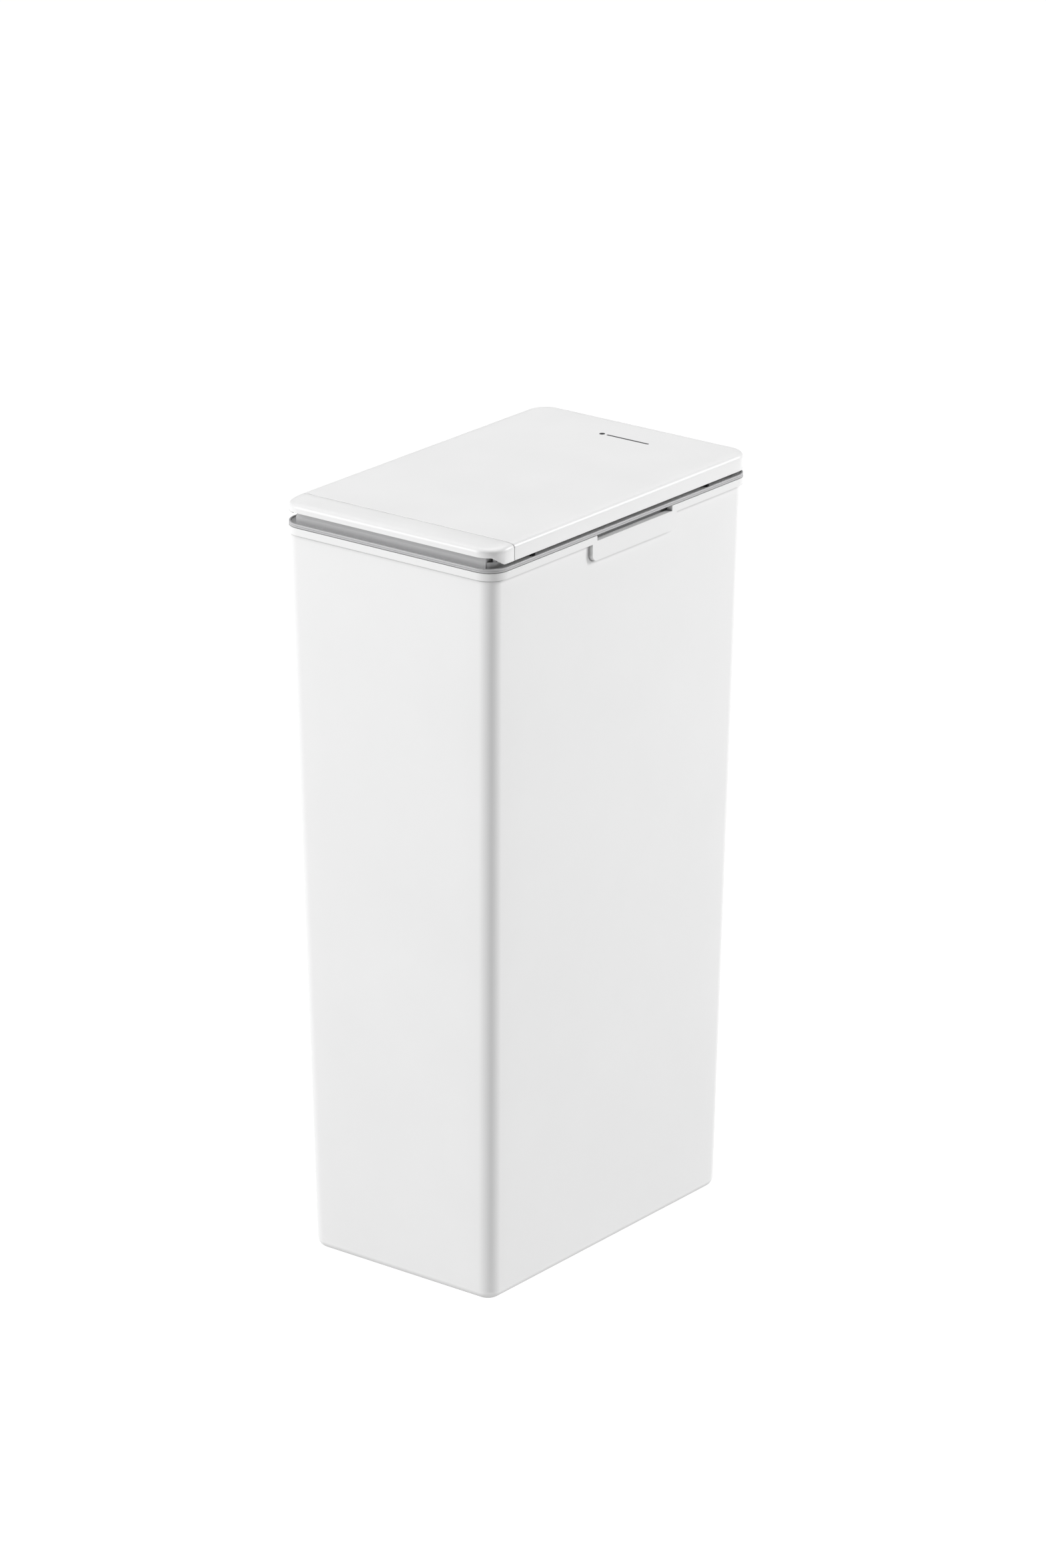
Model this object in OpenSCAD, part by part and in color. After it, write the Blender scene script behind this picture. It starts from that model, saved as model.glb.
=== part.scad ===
// Slim free-standing waste bin: a tapered bucket, a lift-off lid frame, a hinged lid
// and a press bar along the lid's front edge that works the lid's latch.
// Origin: centre of the base, on the floor. +X right, +Y towards the hinge, +Z up.

/* [Overall] */
// Width over the collar
bin_w = 200; // [150:1:300]
// Depth over the collar, front to back
bin_d = 313; // [240:1:420]
// Height of the lid frame's rim above the floor
rim_h = 580; // [300:1:800]

/* [Bucket] */
// Wall thickness
wall = 2.2; // [1.6:0.1:4]
// Thickness of the floor
floor_t = 3; // [2:0.5:6]
// Inward lean of each wall over the whole height
taper = 10.6; // [0:0.2:20]
// Outer radius of the collar's corners
corner_r = 17; // [8:1:30]
// Outer radius of the wall's upright edges
bucket_r = 12; // [11:0.5:30]
// Radius of the bottom edge
edge_r = 8; // [3:0.5:14]
// Height of the collar band
collar_h = 5.6; // [4:0.2:12]
// How far the collar stands out from the wall
collar_proud = 2.8; // [1.5:0.1:5]
// Shift of the walls towards the front, which makes the back of the collar deeper
body_shift = 1.5; // [0:0.1:2.5]

/* [Grips] */
// Length of each side's finger slot
slot_len = 91; // [60:1:140]
// Height of the finger slot
slot_h = 4; // [4:0.1:5]
// Shift of the grips towards the hinge
grip_shift = 11; // [0:1:30]
// Tab beyond each end of the slot
tab_side = 5.5; // [3:0.5:12]
// Drop of the tab below the collar
tab_drop = 13.3; // [6:0.1:30]
// Radius of the tab's lower corners
tab_r = 5; // [1:0.5:6]

/* [Rear lip] */
// Height of the quarter-round lip under the collar's back
lip_h = 11; // [5:0.5:16]
// Length left free of the lip at each end
lip_end = 10; // [5:1:40]

/* [Lid frame] */
// Thickness of the rim
rim_t = 2.7; // [2:0.1:5]
// Shadow gap between the rim and the collar
rim_gap = 0.3; // [0.2:0.1:1]
// How far the rim lies inside the collar's outline
rim_inset = 0.3; // [0.2:0.1:2]
// Width of the rim's raised edge
rim_edge = 1.6; // [1:0.1:3]
// Depth of the flange below the rim's top
flange_drop = 0.8; // [0.4:0.1:1.5]
// Depth of the skirt that hangs inside the bucket
skirt_h = 34; // [20:1:60]
// Thickness of the skirt
skirt_t = 2; // [1.6:0.1:4]
// Clearance between the skirt's lower edge and the bucket
skirt_gap = 0.8; // [0.4:0.1:2]
// Distance from the rim's front edge back to the front panel
panel_back = 5.7; // [4:0.1:8]
// Height of the front panel above the rim
panel_h = 9.3; // [5:0.1:9.6]
// Width left free of the panel at each end
panel_end = 11.5; // [8:0.5:30]
// Thickness of the low lip round the throat, at the front and both sides
lip_t = 1.1; // [0.8:0.1:1.2]
// Clear height between the lip and the lid's liner
lip_gap = 0.8; // [0.5:0.1:2]
// Gap between each end of the front panel and the guide beside it
guide_gap = 2; // [1:0.5:4]
// Width of each guide
guide_w = 1.8; // [1:0.1:3]
// Depth of each guide
guide_d = 4; // [2:0.5:6]
// Distance of the guides behind the panel's front
guide_back = 5; // [3:0.5:8]

/* [Lid] */
// Gap between the rim and the lid's lower edge
lid_gap = 2.9; // [2:0.1:6]
// Height of the lid's straight side
lid_side = 11; // [10.5:0.1:20]
// Rise of the rounded edge above the side
crown_h = 1.8; // [1:0.1:4]
// Width of the rounded edge
crown_w = 7.7; // [4:0.1:12]
// Wall of the lid and the press bar
lid_wall = 2; // [1.5:0.1:3]

/* [Press bar] */
// Depth of the press bar, front to back
bar_d = 24; // [22:0.5:40]
// Seam between the bar and the lid
seam = 0.6; // [0.4:0.1:1]
// Height of the front's lower edge above the lid's lower edge
bar_raise = 5.7; // [2:0.1:7]
// Depth of the raised part of the lower edge, from the front
raise_d = 5; // [3:0.1:6]
// Length of the slope that brings the edge down again at each side
raise_slope = 8; // [4:0.5:10]
// Height of the bar's pivot above the lid's lower edge
bar_axis_up = 3.1; // [3:0.1:5]
// Distance from the seam forward to the bar's pivot
bar_axis_fwd = 3.6; // [3.4:0.1:6]

/* [Hinge] */
// Radius of the steel pins
pin_r = 1.5; // [1:0.1:1.7]
// Distance from the lid's rear face forward to the hinge axis
axis_fwd = 4.9; // [4.9:0.1:8]
// Height of the hinge axis above the lid's lower edge
axis_up = 3; // [3:0.1:5]
// Distance of each hinge from the middle
hinge_x = 62; // [45:1:75]

/* [Fits] */
// Radial clearance of a pin that turns
run_fit = 0.05; // [0.02:0.01:0.1]
// Radial clearance of a pin or screw that stays put
snug_fit = 0.02; // [0.01:0.01:0.05]
// Space between pieces that pass each other
pass_gap = 0.4; // [0.3:0.1:1]

/* [Lid details] */
// Thickness of the lid's top over the inner pieces
edge_t = 1.7; // [1.4:0.1:3]
// Thickness of the middle of the lid's top
plate_t = 2.2; // [1.6:0.1:3]
// Thickness of the liner panel
liner_t = 2; // [1.6:0.1:3]
// Height of the liner above the lid's lower edge
liner_up = 1.7; // [1:0.1:3]
// Half the length of the liner's tongue under the press bar
tongue_x = 79; // [60:1:82]
// Distance of the liner screws from the middle
liner_screw_x = 70; // [50:1:85]
// Distance of the bar springs from the middle
spring_x = 45; // [25:1:65]
// Radius of the boss around each liner screw
boss_r = 3; // [2.4:0.1:4]

/* [Small parts] */
// Width of each frame arm that carries a hinge pin
arm_w = 8; // [5:0.5:10]
// Radius of a frame arm's end
arm_r = 2.4; // [2:0.1:2.4]
// Depth of the post that each arm stands on
post_d = 7; // [5:0.5:9]
// Length of the post below the rim
post_drop = 14; // [8:1:18]
// Thickness of the lid bracket's cheeks
cheek_t = 2.5; // [1.8:0.1:3]
// Thickness of the lid bracket's base
base_t = 1.6; // [1.2:0.1:1.8]
// Length of each torsion spring
coil_len = 13; // [8:0.5:16]
// Wire radius of the torsion springs
coil_wire = 0.4; // [0.3:0.05:0.4]
// Wire radius of the bar springs
bar_wire = 0.25; // [0.2:0.05:0.4]
// Mean radius of the bar springs
bar_coil_r = 1.9; // [1.6:0.1:2.5]
// Width of the latch hook
hook_w = 12; // [8:1:20]
// Thickness of the latch hook
hook_t = 2.2; // [1.6:0.1:3]
// Reach of the hook below the lid's lower edge
hook_drop = 11.4; // [9:0.1:14]
// Width of the keeper plate
keeper_w = 28; // [24:1:40]
// Height of the keeper plate
keeper_h = 13; // [12:0.5:20]
// Thickness of the keeper plate
keeper_t = 1.5; // [1:0.1:2]
// Reach of the keeper's lip
keeper_reach = 3.1; // [2:0.1:3.5]
// Clear distance between the keeper's lip and the hook's nose
nose_gap = 0.7; // [0.6:0.05:1]
// Radius of the rubber buffers
buffer_r = 2.1; // [1.5:0.1:2.5]
// Distance of the buffers from the middle, front and back
buffer_y = 105; // [60:1:125]
// Radius of the screw heads
head_r = 2.2; // [1.8:0.1:2.5]
// Height of the screw heads
head_h = 1.1; // [0.8:0.1:1.2]
// Radius of the screw shanks
shank_r = 1.1; // [0.8:0.1:1.4]

/* [Hidden] */
$fn = 48;
eps = 0.01;
left = -1;
right = 1;

// Heights, from the floor up
collar_top = rim_h - rim_t - rim_gap;
collar_z = collar_top - collar_h;
skirt_z = rim_h - skirt_h;
rim_z = rim_h - rim_t;
flange_z = rim_h - flange_drop;
lid_z = rim_h + lid_gap;
liner_z = lid_z + liner_up;
liner_top = liner_z + liner_t;
crease_z = lid_z + lid_side;
cavity_z = crease_z - edge_t;
top_z = crease_z + crown_h;

// Outlines in plan
lean = taper / collar_top;
wall_top_w = bin_w - 2 * collar_proud;
wall_top_d = bin_d - 2 * collar_proud;
rim_w = bin_w - 2 * rim_inset;
rim_d = bin_d - 2 * rim_inset;
rim_r = corner_r - rim_inset;
skirt_inset = wall + skirt_gap;
skirt_w = wall_w(skirt_z) - 2 * skirt_inset;
skirt_d = wall_d(skirt_z) - 2 * skirt_inset;
skirt_r = bucket_r - skirt_inset;
skirt_front = -body_shift - skirt_d / 2 + skirt_t;
panel_y = -rim_d / 2 + panel_back;
panel_t = 2;
panel_w = rim_w - 2 * panel_end;
guide_low = 1.5;
web_t = 1;
web_reach = guide_gap + 2;
seat_gap = 0.01;
grip_front = grip_shift - slot_len / 2;

// Hinge and press bar axes
axis_y = rim_d / 2 - axis_fwd;
axis_z = lid_z + axis_up;
post_y = axis_y - axis_up - 2 * pass_gap;
bar_back = -rim_d / 2 + bar_d;
lid_front = bar_back + seam;
bar_axis_y = bar_back - bar_axis_fwd;
bar_axis_z = lid_z + bar_axis_up;
ear_r = 3;
ear_w = 4;

// Liner outline, front to back
liner_w = rim_w - 2 * lid_wall - 2 * pass_gap;
liner_back = post_y - post_d - 4.5;
lip_back = liner_back - 4;
tongue_front = skirt_front + 3.7;
liner_screw_front = lid_front + 27;
liner_screw_rear = liner_back - 26;

// Latch
keeper_top = rim_z - pass_gap;
lip_y = skirt_front + keeper_t + keeper_reach;
nose_y = lip_y + nose_gap;
hook_y = nose_y + 2.8;
hook_z = lid_z - hook_drop;
nose_h = 2.5;
hook_screw_y = hook_y - 4;

function wall_w(z) = wall_top_w - 2 * lean * (collar_top - z);
function wall_d(z) = wall_top_d - 2 * lean * (collar_top - z);

// Flat rounded rectangle about the origin
module outline(w, d, r) {
    square([w - 2 * r, d], center = true);
    square([w, d - 2 * r], center = true);
    for (x = [-1, 1], y = [-1, 1])
        translate([x * (w / 2 - r), y * (d / 2 - r)])
            circle(r);
}

// Rounded slab from z = low to z = high
module slab(w, d, r, low, high) {
    translate([0, 0, low])
        linear_extrude(high - low)
            outline(w, d, r);
}

// Box given by its two corners
module block(low, high) {
    translate(low)
        cube(high - low);
}

// Rod along X
module rod_x(r, x0, x1, y, z) {
    translate([x0, y, z])
        rotate([0, 90, 0])
            cylinder(r = r, h = x1 - x0);
}

// Slice of the bucket's wall, inset by t
module wall_slice(z, t) {
    translate([0, -body_shift, z])
        linear_extrude(eps)
            outline(wall_w(z) - 2 * t, wall_d(z) - 2 * t, bucket_r - min(t, edge_r + wall));
}

// Tapered solid of the bucket, inset by t, with a rounded lower edge
module tapered(t, low, high, r) {
    hull() {
        for (a = [0:15:90])
            wall_slice(low + r * (1 - cos(a)), t + r * (1 - sin(a)) * 0.999);
        wall_slice(high - eps, t);
    }
}

// Tab that carries the finger slot, on the side given by s
module grip_tab(s) {
    drop = collar_z - tab_drop;
    length = slot_len + 2 * tab_side;
    x0 = wall_top_w / 2 - wall;
    thick = bin_w / 2 - x0;
    translate([s * (x0 + thick / 2), grip_shift, drop])
        rotate([90, 0, 90])
            translate([0, 0, -thick / 2])
                linear_extrude(thick) {
                    translate([-length / 2, tab_r])
                        square([length, collar_top - drop - tab_r]);
                    translate([-length / 2 + tab_r, 0])
                        square([length - 2 * tab_r, tab_r + eps]);
                    for (y = [-1, 1])
                        translate([y * (length / 2 - tab_r), tab_r])
                            circle(tab_r);
                }
}

// Lip under the back of the collar, with a quarter-round lower edge
module rear_lip() {
    depth = bin_d / 2 - (wall_top_d / 2 - body_shift - wall);
    low = collar_z - lip_h;
    intersection() {
        slab(bin_w, bin_d, corner_r, low, collar_top);
        translate([-(bin_w / 2 - lip_end), bin_d / 2 - depth, low])
            rotate([90, 0, 90])
                linear_extrude(bin_w - 2 * lip_end)
                    polygon(concat(
                        [[0, lip_h + collar_h], [0, 0]],
                        [for (a = [0:10:90]) [depth * sin(a), lip_h * (1 - cos(a))]],
                        [[depth, lip_h + collar_h]]
                    ));
    }
}

module bucket() {
    color("white")
        difference() {
            union() {
                tapered(0, 0, collar_top, edge_r);
                slab(bin_w, bin_d, corner_r, collar_z, collar_top);
                rear_lip();
                for (s = [left, right])
                    grip_tab(s);
            }
            tapered(wall, floor_t, collar_top + 1, edge_r - wall);
            for (s = [left, right])
                translate([s * bin_w / 2, grip_shift, collar_top - slot_h + rim_h / 2])
                    cube([6 * wall, slot_len, rim_h], center = true);
        }
}

// Post and arm of the frame that hold a hinge pin
module pin_arm(x, w) {
    y0 = post_y - post_d;
    difference() {
        union() {
            block([x - w / 2, y0, rim_h - post_drop], [x + w / 2, post_y, axis_z + arm_r]);
            block([x - w / 2, y0, axis_z - arm_r], [x + w / 2, axis_y, axis_z + arm_r]);
            rod_x(arm_r, x - w / 2, x + w / 2, axis_y, axis_z);
        }
        rod_x(pin_r + snug_fit, x - w, x + w, axis_y, axis_z);
    }
}

inner_arm_w = 4;
inner_arm_x = hinge_x - arm_w / 2 - pass_gap - cheek_t - coil_len - 2 * pass_gap - inner_arm_w / 2;

module lid_frame() {
    color("silver") {
        difference() {
            union() {
                slab(rim_w, rim_d, rim_r, rim_z, rim_h);
                translate([0, -body_shift, 0])
                    slab(skirt_w, skirt_d, skirt_r, skirt_z, rim_z + eps);
            }
            slab(rim_w - 2 * rim_edge, rim_d - 2 * rim_edge, rim_r - rim_edge, flange_z, rim_h + 1);
            translate([0, -body_shift, 0])
                slab(skirt_w - 2 * skirt_t, skirt_d - 2 * skirt_t, skirt_r - skirt_t,
                    skirt_z - 1, rim_h + 1);
            for (s = [left, right])
                keeper_bore(s, shank_r + snug_fit);
        }
        difference() {
            translate([0, -body_shift, 0])
                slab(skirt_w - 2 * (skirt_t - lip_t), skirt_d - 2 * (skirt_t - lip_t),
                    skirt_r - skirt_t + lip_t, rim_z + eps, liner_z - lip_gap);
            translate([0, -body_shift, 0])
                slab(skirt_w - 2 * skirt_t, skirt_d - 2 * skirt_t, skirt_r - skirt_t, skirt_z - 1, rim_h + 20);
            block([-bin_w, lip_back, 0], [bin_w, bin_d, 2 * rim_h]);
        }
        block([-panel_w / 2, panel_y, rim_z], [panel_w / 2, panel_y + panel_t, rim_h + panel_h]);
        for (s = [left, right])
            translate([s * (panel_w / 2 + guide_gap + guide_w / 2), panel_y + guide_back, rim_z]) {
                top = rim_h + panel_h - guide_low - rim_z;
                block([-guide_w / 2, 0, 0], [guide_w / 2, guide_d, top]);
                block([-guide_w / 2 - (s == right ? web_reach : 0), guide_d - web_t, 0],
                    [guide_w / 2 + (s == left ? web_reach : 0), guide_d, top]);
            }
        for (s = [left, right]) {
            pin_arm(s * hinge_x, arm_w);
            pin_arm(s * inner_arm_x, inner_arm_w);
        }
    }
}

keeper_screw_x = keeper_w / 2 - 3.5;
keeper_screw_z = keeper_top - keeper_h + 4;

module keeper_bore(s, r) {
    translate([s * keeper_screw_x, skirt_front + keeper_t + 1, keeper_screw_z])
        rotate([90, 0, 0])
            cylinder(r = r, h = keeper_t + skirt_t + 2);
}

module latch_keeper() {
    lip_w = hook_w + 2;
    color("gray")
        difference() {
            union() {
                block([-keeper_w / 2, skirt_front + seat_gap, keeper_top - keeper_h],
                    [keeper_w / 2, skirt_front + keeper_t, keeper_top]);
                block([-lip_w / 2, skirt_front + seat_gap, hook_z + nose_h + pass_gap],
                    [lip_w / 2, lip_y, keeper_top]);
            }
            for (s = [left, right])
                keeper_bore(s, shank_r + snug_fit);
        }
}

// Screw whose head meets its piece at the origin and whose shank runs along +Z
module screw(length) {
    color("lightgray")
        difference() {
            union() {
                cylinder(r = shank_r, h = length);
                translate([0, 0, -head_h])
                    cylinder(r = head_r, h = head_h);
            }
            for (a = [0, 90])
                rotate([0, 0, a])
                    translate([-0.6 * head_r, -0.25, -2 * head_h])
                        cube([1.2 * head_r, 0.5, 1.5 * head_h]);
        }
}

module keeper_screw(s) {
    translate([s * keeper_screw_x, skirt_front + keeper_t, keeper_screw_z])
        rotate([90, 0, 0])
            screw(keeper_t + skirt_t - 0.3);
}

module hinge_pin(s) {
    inner = inner_arm_x - inner_arm_w / 2;
    outer = hinge_x + arm_w / 2 + pass_gap + cheek_t + 1;
    x0 = s > 0 ? inner : -outer;
    color("silver")
        rod_x(pin_r, x0, x0 + outer - inner, axis_y, axis_z);
}

// Round wire of radius w wound at radius r about Z, n turns from z = low to z = high
module coil(r, w, n, low, high) {
    rings = n * 16;
    sides = 8;
    length = high - low - 2 * w;
    points = [
        for (i = [0:rings], k = [0:sides - 1])
            let (turn = 360 * n * i / rings, a = 360 * k / sides, d = r + w * cos(a))
                [d * cos(turn), d * sin(turn), low + w + length * i / rings + w * sin(a)]
    ];
    walls = [
        for (i = [0:rings - 1], k = [0:sides - 1])
            let (m = (k + 1) % sides)
                [i * sides + k, i * sides + m, (i + 1) * sides + m, (i + 1) * sides + k]
    ];
    ends = [[for (k = [sides - 1:-1:0]) k], [for (k = [0:sides - 1]) rings * sides + k]];
    color("silver")
        polyhedron(points, concat(walls, ends));
}

module torsion_spring(s) {
    x0 = inner_arm_x + inner_arm_w / 2 + pass_gap;
    translate([s > 0 ? x0 : -x0 - coil_len, axis_y, axis_z])
        rotate([0, 90, 0])
            coil(pin_r + coil_wire + 0.15, coil_wire, 10, 0, coil_len);
}

module buffer(x, y) {
    top = liner_z - 0.3;
    color("dimgray")
        translate([x * (skirt_w / 2 + buffer_r + 0.2 - skirt_t / 2), y, 0]) {
            translate([0, 0, flange_z])
                cylinder(r = buffer_r, h = top - flange_z - 0.8);
            translate([0, 0, top - 0.8 - eps])
                cylinder(r1 = buffer_r, r2 = buffer_r - 0.6, h = 0.8 + eps);
        }
}

// Whole lid and bar as one solid, hollow from below
module lid_blank() {
    difference() {
        union() {
            slab(rim_w, rim_d, rim_r, lid_z, crease_z);
            hull()
                for (a = [0:15:90]) {
                    in = crown_w * (1 - cos(a));
                    translate([0, 0, crease_z + (crown_h - eps) * sin(a) - eps])
                        linear_extrude(eps)
                            outline(rim_w - 2 * in, rim_d - 2 * in, rim_r - 0.8 * in);
                }
        }
        slab(rim_w - 2 * lid_wall, rim_d - 2 * lid_wall, rim_r - lid_wall, lid_z - 1, cavity_z);
    }
}

module liner_bore(r, low, high) {
    for (x = [-1, 1], y = [liner_screw_front, liner_screw_rear])
        translate([x * liner_screw_x, y, low])
            cylinder(r = r, h = high - low);
}

bracket_screw_front = axis_y - 9;
bracket_screw_rear = axis_y - 3;
base_z = cavity_z - base_t;

module bracket_bore(x, r, low, high) {
    for (y = [bracket_screw_front, bracket_screw_rear])
        translate([x, y, low])
            cylinder(r = r, h = high - low);
}

module lid_shell() {
    inner_w = rim_w - 2 * crown_w - 2;
    plate_back = post_y - post_d - 10;
    web_t = 2;
    color("white")
        difference() {
            union() {
                difference() {
                    lid_blank();
                    block([-bin_w, -bin_d, 0], [bin_w, lid_front, 2 * rim_h]);
                    block([-inner_w / 2, lid_front + 4, cavity_z - 1],
                        [inner_w / 2, plate_back, top_z - plate_t]);
                }
                block([-rim_w / 2 + lid_wall / 2, lid_front, liner_top + pass_gap],
                    [rim_w / 2 - lid_wall / 2, lid_front + web_t, cavity_z + eps]);
                liner_bore(boss_r, liner_top, top_z - plate_t + eps);
            }
            liner_bore(shank_r + snug_fit, liner_top - 1, top_z - plate_t);
            for (s = [left, right])
                bracket_bore(s * hinge_x, shank_r + snug_fit, cavity_z - 1, cavity_z + 2.2);
        }
}

module lid_liner() {
    lug_r = ear_r;
    slot_w = hook_w + 4;
    color("whitesmoke")
        difference() {
            union() {
                block([-liner_w / 2, lid_front, liner_z], [liner_w / 2, liner_back, liner_top]);
                block([-tongue_x, tongue_front, liner_z], [tongue_x, lid_front + eps, liner_top]);
                for (s = [left, right]) {
                    x0 = s > 0 ? tongue_x - ear_w : -tongue_x;
                    rod_x(lug_r, x0, x0 + ear_w, bar_axis_y, bar_axis_z);
                    translate([s * spring_x, spring_y, liner_top - eps])
                        cylinder(r = bar_coil_r - bar_wire - 0.3, h = 2);
                }
            }
            block([-slot_w / 2, tongue_front - 1, liner_z - 1],
                [slot_w / 2, hook_y + hook_t + 1.8, liner_top + 1]);
            for (s = [left, right])
                rod_x(pin_r + snug_fit, s * tongue_x - ear_w - 1, s * tongue_x + ear_w + 1,
                    bar_axis_y, bar_axis_z);
            liner_bore(shank_r + snug_fit, liner_z - 1, liner_top + 1);
            liner_bore(head_r + snug_fit, liner_z - 1, liner_z + head_h);
        }
}

module liner_screw(x, y) {
    translate([x * liner_screw_x, y, liner_z + head_h])
        screw(top_z - plate_t - liner_z - head_h - 0.5);
}

module lid_bracket(s) {
    outer = arm_w / 2 + pass_gap + cheek_t;
    x = s * hinge_x;
    y0 = axis_y - 12;
    color("silver")
        difference() {
            union() {
                block([x - outer, y0, base_z], [x + outer, axis_y + 0.7, cavity_z]);
                for (e = [-1, 1]) {
                    x0 = x + e * (outer - cheek_t / 2) - cheek_t / 2;
                    block([x0, y0, axis_z], [x0 + cheek_t, axis_y + 0.7, base_z + eps]);
                    rod_x(arm_r + 0.2, x0, x0 + cheek_t, axis_y, axis_z);
                }
            }
            rod_x(pin_r + run_fit, x - outer - 1, x + outer + 1, axis_y, axis_z);
            bracket_bore(x, shank_r + snug_fit, base_z - 1, cavity_z + 1);
        }
}

module bracket_screw(s, y) {
    translate([s * hinge_x, y, base_z])
        screw(base_t + 2);
}

bar_ear_x = tongue_x + pass_gap;
spring_y = bar_axis_y - 7.6;

module bar_pin(s) {
    x0 = s > 0 ? tongue_x - ear_w : -bar_ear_x - ear_w;
    color("silver")
        rod_x(pin_r, x0, x0 + 2 * ear_w + pass_gap, bar_axis_y, bar_axis_z);
}

module bar_spring(s) {
    translate([s * spring_x, spring_y, 0])
        coil(bar_coil_r, bar_wire, 4, liner_top + 0.05, cavity_z - 0.05);
}

module press_bar() {
    front = -rim_d / 2;
    web_t = 2;
    low = lid_z + bar_raise;
    color("white")
        difference() {
            union() {
                difference() {
                    lid_blank();
                    block([-bin_w, bar_back, 0], [bin_w, bin_d, 2 * rim_h]);
                }
                block([-rim_w / 2 + lid_wall / 2, bar_back - web_t, low],
                    [rim_w / 2 - lid_wall / 2, bar_back, cavity_z + eps]);
                for (s = [left, right]) {
                    x0 = s > 0 ? bar_ear_x : -bar_ear_x - ear_w;
                    rod_x(ear_r, x0, x0 + ear_w, bar_axis_y, bar_axis_z);
                    block([x0, bar_axis_y - ear_r, bar_axis_z],
                        [x0 + ear_w, bar_axis_y + ear_r, cavity_z + eps]);
                }
            }
            rod_x(pin_r + run_fit, -bin_w / 2 + 2 * lid_wall, bin_w / 2 - 2 * lid_wall,
                bar_axis_y, bar_axis_z);
            translate([-bin_w, 0, 0])
                rotate([90, 0, 90])
                    linear_extrude(2 * bin_w)
                        polygon([
                            [front - 1, lid_z - 1], [front - 1, low], [front + raise_d, low],
                            [front + raise_d + raise_slope, lid_z],
                            [front + raise_d + raise_slope, lid_z - 1]
                        ]);
            translate([0, hook_screw_y, cavity_z - 1])
                cylinder(r = shank_r + snug_fit, h = 3.2);
        }
}

module latch_hook() {
    flange_t = 1.6;
    nose = [[nose_y, nose_h], [nose_y, nose_h - 1], [hook_y + eps, 0], [hook_y + eps, nose_h]];
    color("dimgray")
        difference() {
            union() {
                block([-hook_w / 2, hook_y, hook_z], [hook_w / 2, hook_y + hook_t, cavity_z]);
                block([-hook_w / 2, hook_y - 7, cavity_z - flange_t],
                    [hook_w / 2, hook_y + eps, cavity_z]);
                translate([-hook_w / 2, 0, hook_z])
                    rotate([90, 0, 90])
                        linear_extrude(hook_w)
                            polygon(nose);
            }
            translate([0, hook_screw_y, cavity_z - flange_t - 1])
                cylinder(r = shank_r + snug_fit, h = flange_t + 2);
        }
}

module hook_screw() {
    translate([0, hook_screw_y, cavity_z - 1.6])
        screw(3.6);
}

bucket();
lid_frame();
latch_keeper();
keeper_screw(left);  // keeper_screw_left
keeper_screw(right);  // keeper_screw_right
hinge_pin(left);  // hinge_pin_left
hinge_pin(right);  // hinge_pin_right
torsion_spring(left);  // torsion_spring_left
torsion_spring(right);  // torsion_spring_right
buffer(left, -buffer_y);  // buffer_front_left
buffer(right, -buffer_y);  // buffer_front_right
buffer(left, buffer_y);  // buffer_rear_left
buffer(right, buffer_y);  // buffer_rear_right
lid_shell();
lid_liner();
lid_bracket(left);  // lid_bracket_left
lid_bracket(right);  // lid_bracket_right
bracket_screw(left, bracket_screw_front);  // bracket_screw_left_front
bracket_screw(left, bracket_screw_rear);  // bracket_screw_left_rear
bracket_screw(right, bracket_screw_front);  // bracket_screw_right_front
bracket_screw(right, bracket_screw_rear);  // bracket_screw_right_rear
liner_screw(left, liner_screw_front);  // liner_screw_front_left
liner_screw(right, liner_screw_front);  // liner_screw_front_right
liner_screw(left, liner_screw_rear);  // liner_screw_rear_left
liner_screw(right, liner_screw_rear);  // liner_screw_rear_right
bar_pin(left);  // bar_pin_left
bar_pin(right);  // bar_pin_right
bar_spring(left);  // bar_spring_left
bar_spring(right);  // bar_spring_right
press_bar();
latch_hook();
hook_screw();
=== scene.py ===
from math import sin, cos, pi, radians, asin, degrees

import bmesh
import bpy
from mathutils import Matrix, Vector


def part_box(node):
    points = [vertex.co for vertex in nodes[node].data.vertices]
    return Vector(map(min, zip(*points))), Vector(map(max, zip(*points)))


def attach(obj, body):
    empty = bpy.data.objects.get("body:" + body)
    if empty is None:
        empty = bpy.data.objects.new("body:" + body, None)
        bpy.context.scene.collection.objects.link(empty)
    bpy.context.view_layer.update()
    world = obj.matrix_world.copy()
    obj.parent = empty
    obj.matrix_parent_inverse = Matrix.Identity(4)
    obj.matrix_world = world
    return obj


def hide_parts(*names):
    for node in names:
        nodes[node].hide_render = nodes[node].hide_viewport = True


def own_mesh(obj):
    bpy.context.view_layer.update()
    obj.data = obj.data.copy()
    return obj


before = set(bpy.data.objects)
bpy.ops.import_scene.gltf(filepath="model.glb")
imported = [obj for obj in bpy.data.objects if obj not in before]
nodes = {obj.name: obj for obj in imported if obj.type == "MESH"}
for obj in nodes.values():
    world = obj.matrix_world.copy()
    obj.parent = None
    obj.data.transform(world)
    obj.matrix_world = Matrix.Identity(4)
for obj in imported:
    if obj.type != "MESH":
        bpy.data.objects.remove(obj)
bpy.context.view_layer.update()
mm = 0.001  # lengths below are in millimetres and meshes are scaled by this

# Shared by the whole bin; heights are above the floor.
wasteBin = {
    "width": 200.0, "depth": 313.0, "rimTop": 580.0, "collarTop": 577.0,
    "cornerRadius": 17.0, "rimInset": 0.3, "lidBottom": 582.9, "crease": 593.9,
    "barBack": -132.2, "seam": 0.6, "cavityTop": 592.2,
}
rimHalfW = wasteBin["width"] / 2 - wasteBin["rimInset"]
rimHalfD = wasteBin["depth"] / 2 - wasteBin["rimInset"]
rimRadius = wasteBin["cornerRadius"] - wasteBin["rimInset"]


# Meshes

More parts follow.
